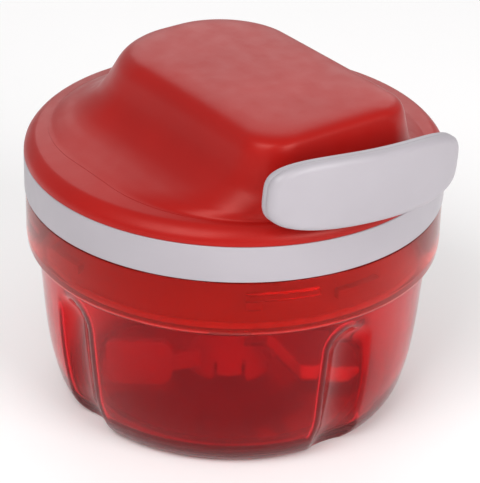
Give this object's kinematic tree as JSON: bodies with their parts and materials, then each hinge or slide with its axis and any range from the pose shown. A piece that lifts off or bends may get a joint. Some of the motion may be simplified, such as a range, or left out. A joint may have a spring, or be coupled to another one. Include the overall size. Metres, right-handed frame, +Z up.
{
  "type": "pull-cord food chopper",
  "caption": "Hand-powered food chopper: pulling the handle's cord turns the blades in a tinted, footed bowl under a twist-on cover with a raised reel housing",
  "frame": {"origin": "middle of the bowl's resting face, on the blade spindle's axis", "axes": "+Z up along the spindle, +X the way the handle and its cord are pulled, +Y to the left of that pull"},
  "size_m": [0.129, 0.124, 0.107],
  "materials": {
    "tinted_bowl": "clear red-tinted plastic, polished",
    "foot_rubber": "matt dark red rubber",
    "steel": "plain steel",
    "blade_steel": "polished stainless steel",
    "hub_plastic": "pale moulded plastic",
    "seal_rubber": "pale silicone rubber",
    "white_plastic": "light grey-white moulded plastic, satin",
    "cover_plastic": "red moulded plastic, satin with fine grain",
    "gear_plastic": "natural acetal",
    "spring_steel": "blued strip steel",
    "cord_fibre": "white braided cord",
    "brass": "plain brass"
  },
  "bodies": {
    "bowl": {"bowl": "tinted_bowl", "foot_ring": "foot_rubber", "spindle_pin": "steel"},
    "blade_unit": {"blade_hub": "hub_plastic", "mixing_paddle": "hub_plastic", "upper_blade": "blade_steel", "lower_blade": "blade_steel"},
    "seal": {"seal_ring": "seal_rubber"},
    "cover": {"cover_base": "white_plastic", "top_cover": "cover_plastic", "lower_cover": "white_plastic", "lower_cover_screws": "steel", "cover_screws": "steel", "cord_eyelet": "steel", "reel_axle": "steel", "axle_clip": "steel", "thrust_washer": "steel", "deck_bush": "gear_plastic", "spring_housing": "gear_plastic", "housing_screws": "steel", "spring_cover": "steel", "recoil_spring": "spring_steel", "cord_lead": "cord_fibre"},
    "reel": {"cord_reel": "gear_plastic", "cord_winding": "cord_fibre", "pawl_carrier": "gear_plastic", "pawl_pins": "steel"},
    "pawl_a": {"pawl_a": "steel"},
    "pawl_b": {"pawl_b": "steel"},
    "driver": {"drive_cup": "gear_plastic"},
    "handle": {"handle_front": "white_plastic", "handle_back": "white_plastic", "cord_stopper": "brass", "cord_end": "cord_fibre"}
  },
  "joints": [
    {"name": "cover_lift", "type": "slide", "parent": "bowl", "child": "seal", "axis": [0, 0, 1], "range_m": [0, 0.09]},
    {"name": "cover_twist", "type": "hinge", "parent": "seal", "child": "cover", "pos_m": [0, 0, 0.0588], "axis": [0, 0, -1], "range_deg": [0, 20]},
    {"name": "cord_pull", "type": "slide", "parent": "cover", "child": "handle", "axis": [1, 0, 0], "range_m": [0, 0.36], "stiffness_N_per_m": 15, "springref_m": -0.2},
    {"name": "reel_turn", "type": "hinge", "parent": "cover", "child": "reel", "pos_m": [0, 0, 0.0934], "axis": [0, 0, 1], "range_deg": [0, 1207]},
    {"name": "pawl_a_swing", "type": "hinge", "parent": "reel", "child": "pawl_a", "pos_m": [0.0105, 0, 0.0607], "axis": [0, 0, 1], "range_deg": [0, 15], "stiffness_Nm_per_rad": 0.0002},
    {"name": "pawl_b_swing", "type": "hinge", "parent": "reel", "child": "pawl_b", "pos_m": [-0.0105, 0, 0.0607], "axis": [0, 0, 1], "range_deg": [0, 15], "stiffness_Nm_per_rad": 0.0002},
    {"name": "driver_turn", "type": "hinge", "parent": "cover", "child": "driver", "pos_m": [0, 0, 0.0571], "axis": [0, 0, 1], "continuous": true},
    {"name": "blade_turn", "type": "hinge", "parent": "bowl", "child": "blade_unit", "pos_m": [0, 0, 0.02], "axis": [0, 0, 1], "continuous": true}
  ],
  "couplings": [
    {"joint": "reel_turn", "follows": "cord_pull", "rad_per_m": 58.48},
    {"joint": "driver_turn", "follows": "cord_pull", "rad_per_m": 58.48},
    {"joint": "blade_turn", "follows": "cord_pull", "rad_per_m": 58.48}
  ]
}
